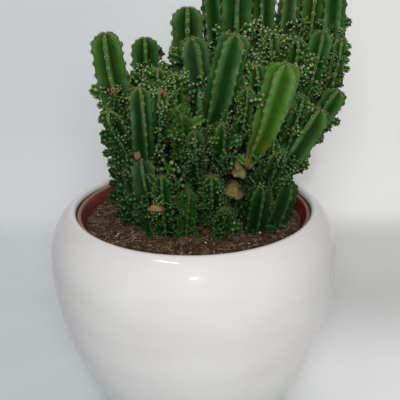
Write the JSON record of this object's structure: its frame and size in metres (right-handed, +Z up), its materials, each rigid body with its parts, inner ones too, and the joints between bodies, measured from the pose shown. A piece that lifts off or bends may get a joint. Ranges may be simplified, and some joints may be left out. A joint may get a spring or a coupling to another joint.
{
  "type": "potted clustering columnar cactus",
  "caption": "Clustering ribbed columnar cactus in a nursery pot that stands inside a round glazed cachepot; it rests on its flat base.",
  "frame": {"origin": "centre of the cachepot's flat base", "axes": "+Z up along the pot's axis, +X to the side that the plant leans to, -Y the front"},
  "size_m": [0.1569, 0.1554, 0.262],
  "materials": {
    "cache_pot_glaze": "gloss",
    "nursery_pot_plastic": "satin",
    "peat_soil": "matte",
    "stem_skin_leaf_green": "satin",
    "stem_skin_dark_green": "satin",
    "stem_skin_grey_green": "satin",
    "stem_skin_bright_green": "satin"
  },
  "bodies": {
    "root": {"arm_bright": "stem_skin_bright_green", "arm_left": "stem_skin_dark_green", "arm_left_stub": "stem_skin_grey_green", "arm_long": "stem_skin_leaf_green", "arm_low_right_1": "stem_skin_grey_green", "arm_low_right_2": "stem_skin_dark_green", "arm_right": "stem_skin_leaf_green", "arm_right_high": "stem_skin_leaf_green", "cache_pot": "cache_pot_glaze", "column_back_1": "stem_skin_leaf_green", "column_back_2": "stem_skin_dark_green", "column_back_3": "stem_skin_leaf_green", "column_back_4": "stem_skin_bright_green", "column_back_5": "stem_skin_dark_green", "nursery_pot": "nursery_pot_plastic", "shoot_back_1": "stem_skin_leaf_green", "shoot_back_2": "stem_skin_dark_green", "shoot_back_3": "stem_skin_leaf_green", "shoot_front_1": "stem_skin_bright_green", "shoot_front_2": "stem_skin_dark_green", "shoot_front_3": "stem_skin_leaf_green", "shoot_left": "stem_skin_dark_green", "shoot_right": "stem_skin_dark_green", "soil": "peat_soil", "stub_front_1": "stem_skin_bright_green", "stub_front_10": "stem_skin_leaf_green", "stub_front_11": "stem_skin_leaf_green", "stub_front_12": "stem_skin_dark_green", "stub_front_13": "stem_skin_dark_green", "stub_front_2": "stem_skin_grey_green", "stub_front_3": "stem_skin_leaf_green", "stub_front_4": "stem_skin_leaf_green", "stub_front_5": "stem_skin_leaf_green", "stub_front_6": "stem_skin_leaf_green", "stub_front_7": "stem_skin_leaf_green", "stub_front_8": "stem_skin_leaf_green", "stub_front_9": "stem_skin_leaf_green", "stub_left": "stem_skin_dark_green", "stub_left_low": "stem_skin_dark_green", "tower_edge": "stem_skin_dark_green", "tower_grey": "stem_skin_grey_green", "tower_left": "stem_skin_leaf_green", "tower_left_short": "stem_skin_dark_green", "tower_middle": "stem_skin_dark_green", "tower_right": "stem_skin_leaf_green", "tower_tall_1": "stem_skin_dark_green", "tower_tall_2": "stem_skin_leaf_green", "tower_tall_3": "stem_skin_dark_green", "tower_tall_4": "stem_skin_grey_green", "tower_tall_5": "stem_skin_leaf_green", "tower_tall_6": "stem_skin_leaf_green", "trunk_back_left": "stem_skin_dark_green", "trunk_back_middle": "stem_skin_dark_green", "trunk_back_right": "stem_skin_dark_green", "trunk_centre": "stem_skin_dark_green", "trunk_left": "stem_skin_dark_green", "trunk_outer": "stem_skin_dark_green", "trunk_right": "stem_skin_dark_green"}
  },
  "joints": []
}
